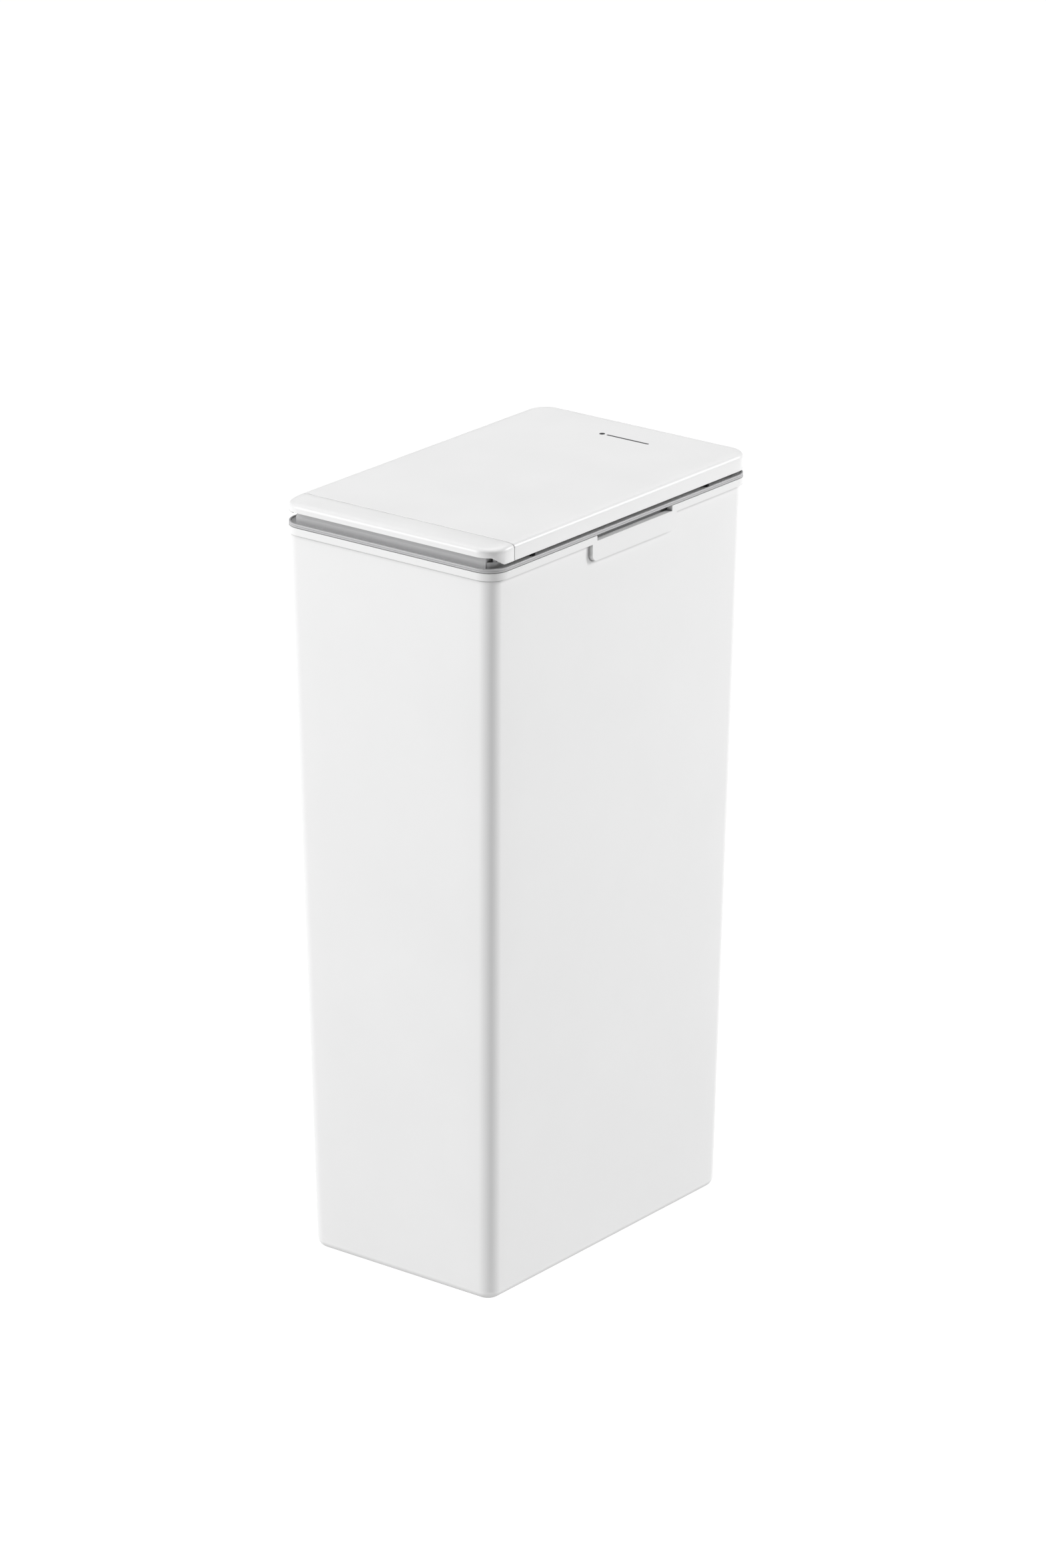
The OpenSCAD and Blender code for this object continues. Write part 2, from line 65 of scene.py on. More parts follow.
def outlineColumns(sideSteps, endSteps, extraAngles=(), cornerParts=14):
    # The places round a rounded rectangle: ("x" or "y", sign, distance along) or ("corner", sx, sy, angle)
    angles = [90 * i / cornerParts for i in range(cornerParts + 1)]
    backAngles = sorted(angles + list(extraAngles))
    columns = [("x", 1, t) for t in sideSteps]
    columns += [("corner", 1, 1, a) for a in backAngles]
    columns += [("y", 1, t) for t in reversed(endSteps)]
    columns += [("corner", -1, 1, 180 - a) for a in reversed(backAngles)]
    columns += [("x", -1, t) for t in reversed(sideSteps)]
    columns += [("corner", -1, -1, 180 + a) for a in angles]
    columns += [("y", -1, t) for t in endSteps]
    columns += [("corner", 1, -1, 270 + a) for a in angles]
    return columns


def outlinePoint(column, halfW, halfD, radius, shift=0.0):
    if column[0] == "x":
        return Vector((column[1] * halfW, column[2]))
    if column[0] == "y":
        return Vector((column[2], shift + column[1] * halfD))
    sx, sy, angle = column[1:]
    a = radians(angle)
    return Vector((sx * (halfW - radius) + radius * cos(a), shift + sy * (halfD - radius) + radius * sin(a)))


def loft(rings, closeLow=True, closeHigh=True, loop=False):
    # Rings of equally many points, joined in order; the ends are closed by a flat face
    bm = bmesh.new()
    made = [[bm.verts.new(p) for p in ring] for ring in rings]
    pairs = list(zip(made, made[1:]))
    if loop:
        pairs.append((made[-1], made[0]))
    for low, high in pairs:
        n = len(low)
        for i in range(n):
            j = (i + 1) % n
            bm.faces.new((low[i], low[j], high[j], high[i]))
    if not loop and closeLow:
        bm.faces.new(list(reversed(made[0])))
    if not loop and closeHigh:
        bm.faces.new(made[-1])
    return bm


def toObject(bm, name, recalc=True):
    bmesh.ops.remove_doubles(bm, verts=bm.verts, dist=1e-4)
    if recalc:
        bmesh.ops.recalc_face_normals(bm, faces=bm.faces)
    bmesh.ops.scale(bm, vec=(mm, mm, mm), verts=bm.verts)
    mesh = bpy.data.meshes.new(name)
    bm.to_mesh(mesh)
    bm.free()
    piece = bpy.data.objects.new(name, mesh)
    bpy.context.scene.collection.objects.link(piece)
    return piece


def ring(columns, halfW, halfD, radius, z, shift=0.0):
    return [(*outlinePoint(c, halfW, halfD, radius, shift), z) for c in columns]


def boxMesh(low, high):
    bm = bmesh.new()
    bmesh.ops.create_cube(bm, size=1.0)
    for v in bm.verts:
        v.co = Vector([(a + b) / 2 + c * (b - a) for a, b, c in zip(low, high, v.co)])
    return bm


def rodMesh(radius, x0, x1, y, z, sides=48):
    rings = [[(x, y + radius * cos(2 * pi * i / sides), z + radius * sin(2 * pi * i / sides))
              for i in range(sides)] for x in (x0, x1)]
    return loft(rings)


def prismMesh(outline, x0, x1):
    # Closed (y, z) outline drawn out along X
    return loft([[(x, y, z) for y, z in outline] for x in (x0, x1)])


def combine(piece, cutter, how):
    # Boolean with a piece made only for it
    step = piece.modifiers.new(how, "BOOLEAN")
    step.operation = how
    step.solver = "EXACT"
    step.object = cutter
    applyModifiers(piece)
    bpy.data.objects.remove(cutter)


def applyModifiers(piece):
    bpy.context.view_layer.update()
    mesh = bpy.data.meshes.new_from_object(piece.evaluated_get(bpy.context.evaluated_depsgraph_get()))
    mesh.name = piece.name
    piece.modifiers.clear()
    old = piece.data
    piece.data = mesh
    bpy.data.meshes.remove(old)


def softenEdges(piece, width, angle=40, segments=2):
    # Moulded edges are never sharp
    step = piece.modifiers.new("edges", "BEVEL")
    step.width = width * mm
    step.segments = segments
    step.limit_method = "ANGLE"
    step.angle_limit = radians(angle)
    step.miter_outer = "MITER_ARC"
    applyModifiers(piece)


def smooth(piece, angle=35):
    piece.data.shade_smooth()
    piece.data.set_sharp_from_angle(angle=radians(angle))


def finished(piece, body, slot, material, *replaced):
    piece.data.materials.clear()
    piece.data.materials.append(material)
    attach(piece, body)
    if replaced:
        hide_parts(*replaced)
    return piece


def steps(low, high, coarse, fine, centres, reach):
    # Numbers from low to high, close together near each centre
    values = {round(low, 4), round(high, 4)}
    count = max(1, round((high - low) / coarse))
    for i in range(count + 1):
        v = low + (high - low) * i / count
        if all(abs(v - c) > reach for c in centres):
            values.add(round(v, 4))
    for c in centres:
        n = round(2 * reach / fine)
        for i in range(n + 1):
            v = c - reach + 2 * reach * i / n
            if low < v < high:
                values.add(round(v, 4))
    ordered = sorted(values)
    return [v for i, v in enumerate(ordered) if i == 0 or v - ordered[i - 1] > fine * 0.4]


# Materials

def linear(hexColour):
    def channel(v):
        return v / 12.92 if v <= 0.04045 else ((v + 0.055) / 1.055) ** 2.4
    return [channel(int(hexColour[i:i + 2], 16) / 255) for i in (0, 2, 4)] + [1.0]


def add(tree, kind, settings=None, links=None):
    # One node, with its settings, its input values and what its inputs are linked to
    node = tree.nodes.new(kind)
    for name, value in (settings or {}).items():
        if name in node.inputs:
            node.inputs[name].default_value = value
        else:
            setattr(node, name, value)
    for name, source in (links or {}).items():
        tree.links.new(source, node.inputs[name])
    return node


def newMaterial(name):
    material = bpy.data.materials.new(name)
    material.use_nodes = True
    material.node_tree.nodes.clear()
    return material, material.node_tree


# Painted shade: the grey painted into crevices and the darker tone painted along the foot, both standing in
# for shade
paintedShade = {"creviceShadeColour": "8e8e8e", "creviceShade": 0.62, "baseShadeColour": "9a9a99", "baseShade": 0.5, "baseShadeFull": 0.55}


def moulded(name, colour, roughness, grain, drift=0.02, specular=0.5, bump=0.05, creviceShadeReach=0.0, baseShadeHeight=0.0):
    # Injection-moulded thermoplastic: an even colour with a faint cloudiness from the melt's flow,
    # and a fine eroded grain on the tool, in mm, that softens the gloss. Painted shade greys the plastic
    # within the given reach, in mm, of an inner corner, and painted shade darkens it up to the given height,
    # in mm, above the floor
    material, tree = newMaterial(name)
    place = add(tree, "ShaderNodeTexCoord").outputs["Object"]
    flow = add(tree, "ShaderNodeTexNoise", {"Scale": 1 / (60 * mm), "Detail": 3.0, "Roughness": 0.5},
               {"Vector": place})
    base = linear(colour)
    darker = [c * (1 - drift) for c in base[:3]] + [1]
    lighter = [min(1, c * (1 + drift)) for c in base[:3]] + [1]
    tone = add(tree, "ShaderNodeMixRGB", {"Color1": darker, "Color2": lighter}, {"Fac": flow.outputs["Fac"]})
    shade = tone.outputs["Color"]
    # Painted shade: the colour greys where ambient occlusion finds an inner corner close by, standing in for
    # the shade in crevices
    if creviceShadeReach:
        occlusionShade = add(tree, "ShaderNodeAmbientOcclusion", {"samples": 12, "Distance": creviceShadeReach * mm})
        creviceShade = add(tree, "ShaderNodeMapRange",
                   {"From Min": 0.5, "From Max": 1.0, "To Min": paintedShade["creviceShade"], "To Max": 0.0},
                   {"Value": occlusionShade.outputs["AO"]})
        shade = add(tree, "ShaderNodeMixRGB", {"Color2": linear(paintedShade["creviceShadeColour"])},
                    {"Color1": shade, "Fac": creviceShade.outputs["Result"]}).outputs["Color"]
    # Painted shade: the colour darkens towards the floor, standing in for the shade along the foot
    if baseShadeHeight:
        height = add(tree, "ShaderNodeSeparateXYZ", None, {"Vector": place})
        baseShade = add(tree, "ShaderNodeMapRange",
                  {"From Min": paintedShade["baseShadeFull"] * baseShadeHeight * mm, "From Max": baseShadeHeight * mm, "To Min": paintedShade["baseShade"],
                   "To Max": 0.0},
                  {"Value": height.outputs["Z"]})
        shade = add(tree, "ShaderNodeMixRGB", {"Color2": linear(paintedShade["baseShadeColour"])},
                    {"Color1": shade, "Fac": baseShade.outputs["Result"]}).outputs["Color"]
    fine = add(tree, "ShaderNodeTexNoise", {"Scale": 1 / (grain * mm), "Detail": 2.0}, {"Vector": place})
    relief = add(tree, "ShaderNodeBump", {"Strength": bump, "Distance": 0.05 * mm},
                 {"Height": fine.outputs["Fac"]})
    gloss = add(tree, "ShaderNodeMapRange", {"To Min": roughness - 0.04, "To Max": roughness + 0.04},
                {"Value": flow.outputs["Fac"]})
    shader = add(tree, "ShaderNodeBsdfPrincipled", {"IOR": 1.49, "Specular IOR Level": specular},
                 {"Base Color": shade, "Roughness": gloss.outputs["Result"],
                  "Normal": relief.outputs["Normal"]})
    add(tree, "ShaderNodeOutputMaterial", None, {"Surface": shader.outputs["BSDF"]})
    return material


def metal(name, colour, roughness, streak, along="x"):
    # Drawn or plated steel: fine lines along the length, in mm, that stretch the highlights
    material, tree = newMaterial(name)
    place = add(tree, "ShaderNodeTexCoord").outputs["Object"]
    stretch = {"x": (0.05, 1, 1), "z": (1, 1, 0.05), "even": (1, 1, 1)}[along]
    turned = add(tree, "ShaderNodeMapping", {"Scale": stretch}, {"Vector": place})
    lines = add(tree, "ShaderNodeTexNoise", {"Scale": 1 / (streak * mm), "Detail": 4.0},
                {"Vector": turned.outputs["Vector"]})
    base = linear(colour)
    tone = add(tree, "ShaderNodeMixRGB", {"Color1": [c * 0.85 for c in base[:3]] + [1], "Color2": base},
               {"Fac": lines.outputs["Fac"]})
    relief = add(tree, "ShaderNodeBump", {"Strength": 0.1, "Distance": 0.02 * mm},
                 {"Height": lines.outputs["Fac"]})
    gloss = add(tree, "ShaderNodeMapRange", {"To Min": roughness - 0.08, "To Max": roughness + 0.08},
                {"Value": lines.outputs["Fac"]})
    shader = add(tree, "ShaderNodeBsdfPrincipled", {"Metallic": 1.0},
                 {"Base Color": tone.outputs["Color"], "Roughness": gloss.outputs["Result"],
                  "Normal": relief.outputs["Normal"]})
    add(tree, "ShaderNodeOutputMaterial", None, {"Surface": shader.outputs["BSDF"]})
    return material


# Polypropylene from an eroded tool: white, satin, slightly cloudy in large patches
# Painted shade in the crevices under the collar and the grip tab, and along the foot
bucketPolypropylene = moulded("bucketPolypropylene", "e9e9e9", 0.42, 0.6, creviceShadeReach=3.2, baseShadeHeight=6.5)
# The lid is from a finer tool: the same white with a slightly tighter sheen
# Painted shade in the seam between lid and press bar and in other narrow crevices
lidPolypropylene = moulded("lidPolypropylene", "e9e9e9", 0.38, 0.4, creviceShadeReach=1.6)
# Grey-pigmented polypropylene with a little pearl: satin, brighter at grazing light
framePolypropylene = moulded("framePolypropylene", "bcbcbd", 0.36, 0.5, drift=0.03)
# Unpainted inner moulding, a shade darker and duller than the lid
linerPolypropylene = moulded("linerPolypropylene", "dededc", 0.5, 0.8)
# Acetal wears smooth: black with a waxy sheen
hookAcetal = moulded("hookAcetal", "1c1c1d", 0.3, 0.5, drift=0.05)
# Soft rubber plug: nearly black, dull
bufferRubber = moulded("bufferRubber", "2b2b2c", 0.75, 0.35, drift=0.08, specular=0.3, bump=0.15)
# Pad-printed ink: dark grey, thin and even, a little duller than the plastic under it
markInk = moulded("markInk", "3a3b3d", 0.55, 0.3, drift=0.04, specular=0.35, bump=0.02)
# Drawn steel wire and pins: bright, fine lines along the length
drawnSteel = metal("drawnSteel", "c4c6c8", 0.25, 0.3, along="x")
# Bright zinc plate on pressed steel: cloudy and slightly blue
zincPlate = metal("zincPlate", "bfc3c7", 0.38, 1.2, along="even")
print("materials made")


# Bucket

bucket = {
    "wall": 2.2, "floor": 3.0, "taper": 10.6, "wallRadius": 12.0, "edgeRadius": 8.0,
    "collarHeight": 5.6, "proud": 2.8, "shift": 1.5, "stepWidth": 0.3, "undercut": 0.3, "undercutHeight": 1.1,
    "slotLength": 91.0, "slotHeight": 4.0, "gripShift": 11.0, "tabSide": 5.5, "tabDrop": 13.3,
    "tabRadius": 5.0,
    "lipHeight": 11.0, "lipEnd": 10.0, "topEdge": 0.5,
}


def makeBucket():
    b = bucket
    top, radius = wasteBin["collarTop"], wasteBin["cornerRadius"]
    halfW, halfD = wasteBin["width"] / 2, wasteBin["depth"] / 2
    collarZ = top - b["collarHeight"]
    tabZ = collarZ - b["tabDrop"]
    lipZ = collarZ - b["lipHeight"]
    tabHalf = b["slotLength"] / 2 + b["tabSide"]
    slotLow, slotHigh = b["gripShift"] - b["slotLength"] / 2, b["gripShift"] + b["slotLength"] / 2
    tabLow, tabHigh = b["gripShift"] - tabHalf, b["gripShift"] + tabHalf
    lipX = halfW - b["lipEnd"]
    lipAngle = 90 - degrees(asin((lipX - (halfW - radius)) / radius))

    def wallHalf(z):
        lean = b["taper"] / top * (top - z)
        return halfW - b["proud"] - lean, halfD - b["proud"] - lean

    def tabDistance(y, z):
        # Distance outside the tab's outline, which has rounded lower corners
        dy = abs(y - b["gripShift"]) - (tabHalf - b["tabRadius"])
        dz = (tabZ + b["tabRadius"]) - z
        if dy > 0 and dz > 0:
            return (dy * dy + dz * dz) ** 0.5 - b["tabRadius"]
        return max(dy, dz) - b["tabRadius"]

    def proudShare(column, z):
        # 0 on the plain wall, 1 on the collar's face
        distance = collarZ - z
        if column[0] == "x":
            distance = min(distance, tabDistance(column[2], z))
        if distance <= 0:
            share = 1.0
        elif distance < b["stepWidth"]:
            share = 1.0 - (1.0 + b["undercut"]) * (0.5 - 0.5 * cos(pi * distance / b["stepWidth"]))
        else:
            fade = min(1.0, (distance - b["stepWidth"]) / b["undercutHeight"])
            share = -b["undercut"] * (1 - fade) ** 2
        onLip = column[0] == "y" and column[1] > 0
        if column[0] == "corner" and column[2] > 0:
            fromBack = abs(90 - column[3])
            onLip = fromBack < 90 - lipAngle
        if onLip and z > lipZ:
            rise = min(1.0, (z - lipZ) / b["lipHeight"])
            depth = b["proud"] + b["shift"] + b["wall"]
            out = halfD - depth + depth * (1 - (1 - rise) ** 2) ** 0.5
            wallY = wallHalf(z)[1] - b["shift"]
            share = max(share, min(1.0, (out - wallY) / (halfD - wallY)))
        return share

    def mapped(column, z):
        # The rows above the slot's lower edge are pressed down into it
        base = top - b["slotHeight"] - 1.0
        if column[0] == "x" and slotLow < column[2] < slotHigh and z > base:
            return base + (z - base) / (b["slotHeight"] + 1.0)
        return z

    def outer(column, z, inset=0.0):
        z = mapped(column, z)
        w, d = wallHalf(z)
        plain = outlinePoint(column, w - inset, d - inset, b["wallRadius"] - inset, -b["shift"])
        collar = outlinePoint(column, halfW - inset, halfD - inset, radius - inset)
        return (*plain.lerp(collar, proudShare(column, z)), z)

    def inner(column, z, inset):
        z = mapped(column, z)
        w, d = wallHalf(z)
        return (*outlinePoint(column, w - inset, d - inset, max(1.5, b["wallRadius"] - inset), -b["shift"]),
                z)

    sideSteps = steps(-115, 115, 12, 0.1, [tabLow - 0.5, tabHigh + 0.5], 1.1)
    sideSteps += steps(tabLow, tabLow + b["tabRadius"] + 1, 0.22, 0.22, [], 0)
    sideSteps += steps(tabHigh - b["tabRadius"] - 1, tabHigh, 0.22, 0.22, [], 0)
    sideSteps += [slotLow - 0.5, slotLow - 0.05, slotLow + 0.05, slotLow + 0.5]
    sideSteps += [slotHigh - 0.5, slotHigh - 0.05, slotHigh + 0.05, slotHigh + 0.5]
    sideSteps = sorted(set(sideSteps))
    sideSteps = [v for i, v in enumerate(sideSteps) if i == 0 or v - sideSteps[i - 1] > 0.06]
    endSteps = [-64, -40, -14, 14, 40, 64]
    columns = outlineColumns(sideSteps, endSteps, [lipAngle - 0.4, lipAngle + 0.4])
    rows = [40, 120, 230, 340, 450, 530, 550]
    rows += steps(tabZ - 2, tabZ + 6.5, 0.22, 0.1, [tabZ - 0.5], 1.1)
    rows += steps(tabZ + 7, collarZ - 2, 0.9, 0.9, [], 0)
    rows += steps(collarZ - 1.5, top - b["topEdge"], 0.6, 0.1, [collarZ - 0.6], 1.0)
    rows = sorted(set(rows))
    rows = [z for i, z in enumerate(rows) if i == 0 or z - rows[i - 1] > 0.06]

    rings = []
    r = b["edgeRadius"]
    rings.append([outer(c, 0.0, r + 6) for c in columns])
    for i in range(11):
        a = pi / 2 * i / 10
        rings.append([outer(c, r * (1 - cos(a)), r * (1 - sin(a))) for c in columns])
    rings += [[outer(c, z) for c in columns] for z in rows]
    e = b["topEdge"]
    for a in (30, 60, 90):
        rings.append([outer(c, top - e + e * sin(radians(a)), e * (1 - cos(radians(a)))) for c in columns])
    for a in (90, 45, 0):
        rings.append([inner(c, top - e + e * sin(radians(a)),
                            b["wall"] - e * (1 - cos(radians(a)))) for c in columns])
    for z in (574.5, 572.5, 571.5, 560, 500, 400, 300, 200, 100, 40):
        rings.append([inner(c, z, b["wall"]) for c in columns])
    r = b["edgeRadius"] - b["wall"]
    for i in range(7):
        a = pi / 2 * (6 - i) / 6
        rings.append([inner(c, b["floor"] + r * (1 - cos(a)), b["wall"] + r * (1 - sin(a))) for c in columns])
    rings.append([inner(c, b["floor"], b["wall"] + r + 6) for c in columns])
    piece = toObject(loft(rings), "bucketShell")
    smooth(piece, 48)
    return finished(piece, "bucket", "white_plastic", bucketPolypropylene, "bucket")


makeBucket()
print("bucket made")


# Lid frame: rim, flange and skirt in one closed section, with the front panel and the posts

lidFrame = {
    "rimBottom": 577.3, "groove": 0.25, "grooveZ": 578.5, "grooveHeight": 0.35, "edge": 0.5, "edgeWidth": 1.6,
    "flange": 579.2, "skirtBottom": 546.0, "skirtHalfW": 93.63, "skirtHalfD": 150.13, "skirtRadius": 9.0,
    "skirtWall": 2.0, "shift": 1.5,
    "panelFront": -150.5, "panelThick": 2.0, "panelHalfW": 88.2, "panelTop": 589.3,
    "guideGap": 2.0, "guideWidth": 1.8, "guideDepth": 4.0, "guideBack": 5.0, "guideTop": 587.8,
    "webReach": 4.0, "webThick": 1.0,
    "armHalfW": 4.0, "innerArmHalfW": 2.0, "armRadius": 2.4, "postDepth": 7.0, "postBottom": 566.0,
    "postBack": 147.5,
    "pinClearance": 0.02, "lipWall": 1.1, "lipTop": 583.8, "lipBack": 132.0,
}


def makeLidFrame():
    f = lidFrame
    columns = outlineColumns([-120, -60, 0, 60, 120], [-70, -35, 0, 35, 70])

    def rim(inset, z):
        return ring(columns, rimHalfW - inset, rimHalfD - inset, rimRadius - inset, z)

    def skirt(inset, z):
        return ring(columns, f["skirtHalfW"] - inset, f["skirtHalfD"] - inset, f["skirtRadius"] - inset, z,
                    -f["shift"])

    top, e, w = wasteBin["rimTop"], f["edge"], f["edgeWidth"]
    section = [rim(0.35, f["rimBottom"]), rim(0.1, f["rimBottom"] + 0.1), rim(0, f["rimBottom"] + 0.3)]
    section += [rim(0, f["grooveZ"]), rim(f["groove"], f["grooveZ"] + 0.06),
                rim(f["groove"], f["grooveZ"] + f["grooveHeight"]),
                rim(0, f["grooveZ"] + f["grooveHeight"] + 0.06)]
    section += [rim(e * (1 - cos(radians(a))), top - e + e * sin(radians(a))) for a in (0, 30, 60, 90)]
    section += [rim(w - 0.3 + 0.3 * sin(radians(a)), top - 0.3 * (1 - cos(radians(a)))) for a in (0, 45, 90)]
    section += [rim(w, f["flange"] + 0.2), rim(w + 0.06, f["flange"] + 0.06), rim(w + 0.2, f["flange"])]
    inner = f["skirtWall"]
    section += [skirt(inner - 0.8, f["flange"]), skirt(inner - 0.23, f["flange"] - 0.23),
                skirt(inner, f["flange"] - 0.8)]
    section += [skirt(inner, f["skirtBottom"] + 0.6), skirt(inner - 0.3, f["skirtBottom"] + 0.08),
                skirt(inner / 2, f["skirtBottom"]),
                skirt(0.3, f["skirtBottom"] + 0.08), skirt(0, f["skirtBottom"] + 0.6),
                skirt(0, f["rimBottom"] - 0.8),
                skirt(-0.23, f["rimBottom"] - 0.23), skirt(-0.8, f["rimBottom"])]
    piece = toObject(loft(section, loop=True), "lidFrameBody")

    innerW, innerD = f["skirtHalfW"] - f["skirtWall"], f["skirtHalfD"] - f["skirtWall"]
    innerR = f["skirtRadius"] - f["skirtWall"]
    t, z0, z1 = f["lipWall"], f["rimBottom"] + 0.4, f["lipTop"]

    def lipRing(inset, z):
        return ring(columns, innerW + inset, innerD + inset, innerR + inset, z, -f["shift"])

    lip = loft([lipRing(0, z0), lipRing(t, z0), lipRing(t, z1 - 0.3), lipRing(t - 0.09, z1 - 0.09),
                lipRing(t - 0.3, z1),
                lipRing(0.3, z1), lipRing(0.09, z1 - 0.09), lipRing(0, z1 - 0.3)], loop=True)
    lip = toObject(lip, "throatLip")
    combine(lip, toObject(boxMesh((-120, f["lipBack"], 500), (120, 200, 620)), "behind"), "DIFFERENCE")
    combine(piece, lip, "UNION")

    panel = toObject(boxMesh((-f["panelHalfW"], f["panelFront"], f["rimBottom"] + 0.6),
                             (f["panelHalfW"], f["panelFront"] + f["panelThick"], f["panelTop"])), "panel")
    softenEdges(panel, 0.5, segments=3)
    combine(piece, panel, "UNION")
    for side in (-1, 1):
        x0, x1 = sorted(side * (f["panelHalfW"] + f["guideGap"] + w) for w in (0, f["guideWidth"]))
        y0 = f["panelFront"] + f["guideBack"]
        guide = toObject(boxMesh((x0, y0, f["rimBottom"] + 0.3), (x1, y0 + f["guideDepth"], f["guideTop"])),
                         "guide")
        softenEdges(guide, 0.3, segments=3)
        combine(piece, guide, "UNION")
        # A return at the panel's end and a web behind the gap shut it off from the throat
        x2, x3 = sorted((side * (f["panelHalfW"] - 0.3), side * (f["panelHalfW"] - 1.3)))
        back = boxMesh((x2, f["panelFront"] + f["panelThick"] - 0.4, f["rimBottom"] + 0.5),
                       (x3, y0 + f["guideDepth"] - 0.3, f["guideTop"] - 0.4))
        combine(piece, toObject(back, "return"), "UNION")
        webBack = y0 + f["guideDepth"] - 0.05
        web = boxMesh((min(x0, x0 - side * f["webReach"]) + 0.3, webBack - f["webThick"],
                       f["rimBottom"] + 0.5),
                      (max(x1, x1 - side * f["webReach"]) - 0.3, webBack, f["guideTop"] - 0.3))
        combine(piece, toObject(web, "web"), "UNION")
    for name in ("hinge_pin_left", "hinge_pin_right"):
        low, high = [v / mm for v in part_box(name)]
        y, z, r = (low.y + high.y) / 2, (low.z + high.z) / 2, (high.z - low.z) / 2
        side = 1 if low.x > 0 else -1
        innerX = (low.x if side > 0 else high.x) + side * f["innerArmHalfW"]
        bracketLow, bracketHigh = [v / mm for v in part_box(name.replace("hinge_pin", "lid_bracket"))]
        for x, half in (((bracketLow.x + bracketHigh.x) / 2, f["armHalfW"]), (innerX, f["innerArmHalfW"])):
            y0 = f["postBack"] - f["postDepth"]
            arm = toObject(boxMesh((x - half, y0, f["postBottom"]),
                                   (x + half, f["postBack"], z + f["armRadius"])), "arm")
            combine(arm, toObject(boxMesh((x - half, y0 + 1, z - f["armRadius"]),
                                          (x + half, y, z + f["armRadius"])), "reach"), "UNION")
            combine(arm, toObject(rodMesh(f["armRadius"], x - half, x + half, y, z), "end"), "UNION")
            combine(arm, toObject(rodMesh(r + f["pinClearance"], x - half - 1, x + half + 1, y, z), "hole"),
                    "DIFFERENCE")
            softenEdges(arm, 0.25, angle=50)
            combine(piece, arm, "UNION")
    smooth(piece, 42)
    return finished(piece, "frame", "grey_plastic", framePolypropylene, "lid_frame")


makeLidFrame()
print("lid frame made")


# Lid and press bar: cut from one blank, so that their faces run on across the seam

lid = {
    "crownRise": 1.8, "crownWidth": 7.7, "shoulderWidth": 2.8, "shoulderDrop": 2.0, "wall": 2.0,
    "webThick": 2.0, "edge": 0.2, "underWeb": 4.1,
}
bar = {"noseWidth": 6.0, "noseDrop": 1.4, "noseFrom": -133.0, "noseTo": -142.0, "fall": 0.7, "raise": 5.7,
       "raiseDepth": 5.0, "slope": 8.0, "edge": 0.2, "earRadius": 3.0, "earWidth": 4.0}


def rounding(inset, width, drop):
    # How far a quarter ellipse lies below its top, at inset from its foot
    return drop * (1 - (1 - max(0.0, 1 - inset / width) ** 2) ** 0.5)


def blank(name, front=None, back=None):
    # The lid's outer solid between two cuts across Y
    columns = outlineColumns([-130, -60, 0, 60, 130], [-70, -35, 0, 35, 70], cornerParts=20)
    rings = [ring(columns, rimHalfW - 6, rimHalfD - 6, rimRadius - 6, wasteBin["lidBottom"]),
             ring(columns, rimHalfW, rimHalfD, rimRadius, wasteBin["lidBottom"]),
             ring(columns, rimHalfW, rimHalfD, rimRadius, wasteBin["crease"] - lid["shoulderDrop"] - 1.6)]
    parts = 24
    for i in range(parts + 1):
        a = pi / 2 * i / parts
        inset = lid["crownWidth"] * (1 - cos(a))
        z = wasteBin["crease"] + lid["crownRise"] * sin(a) - rounding(inset, lid["shoulderWidth"],
                                                                      lid["shoulderDrop"])
        rings.append(ring(columns, rimHalfW - inset, rimHalfD - inset, rimRadius - 0.8 * inset, z))
    inset = lid["crownWidth"] + 2
    rings.append(ring(columns, rimHalfW - inset, rimHalfD - inset, rimRadius - 0.8 * inset,
                      wasteBin["crease"] + lid["crownRise"]))
    return cut(loft(rings), name, front, back)


def cavity(name, front=None, back=None):
    w = lid["wall"]
    columns = outlineColumns([-130, 130], [-70, 70], cornerParts=10)
    rings = [ring(columns, rimHalfW - w, rimHalfD - w, rimRadius - w, wasteBin["lidBottom"] - 1),
             ring(columns, rimHalfW - w, rimHalfD - w, rimRadius - w, wasteBin["cavityTop"])]
    return cut(loft(rings), name, front, back)


def cut(bm, name, front, back):
    for y, side in ((front, -1), (back, 1)):
        if y is None:
            continue
        geometry = bm.verts[:] + bm.edges[:] + bm.faces[:]
        made = bmesh.ops.bisect_plane(bm, geom=geometry, plane_co=(0, y, 0), plane_no=(0, side, 0),
                                      clear_outer=True)
        edges = [g for g in made["geom_cut"] if isinstance(g, bmesh.types.BMEdge)]
        bmesh.ops.contextual_create(bm, geom=edges)
    return toObject(bm, name)


def makeLidShell():
    front = wasteBin["barBack"] + wasteBin["seam"]
    piece = blank("lidCover", front=front)
    combine(piece, cavity("hollow", front=front + lid["webThick"]), "DIFFERENCE")
    w = rimHalfW - lid["wall"]
    combine(piece, toObject(boxMesh((-w, front - 1, wasteBin["lidBottom"] - 1),
                                    (w, front + 3, wasteBin["lidBottom"] + lid["underWeb"])), "pass"),
                                    "DIFFERENCE")
    softenEdges(piece, lid["edge"])
    smooth(piece, 32)
    return finished(piece, "lid", "white_plastic", lidPolypropylene, "lid_shell")


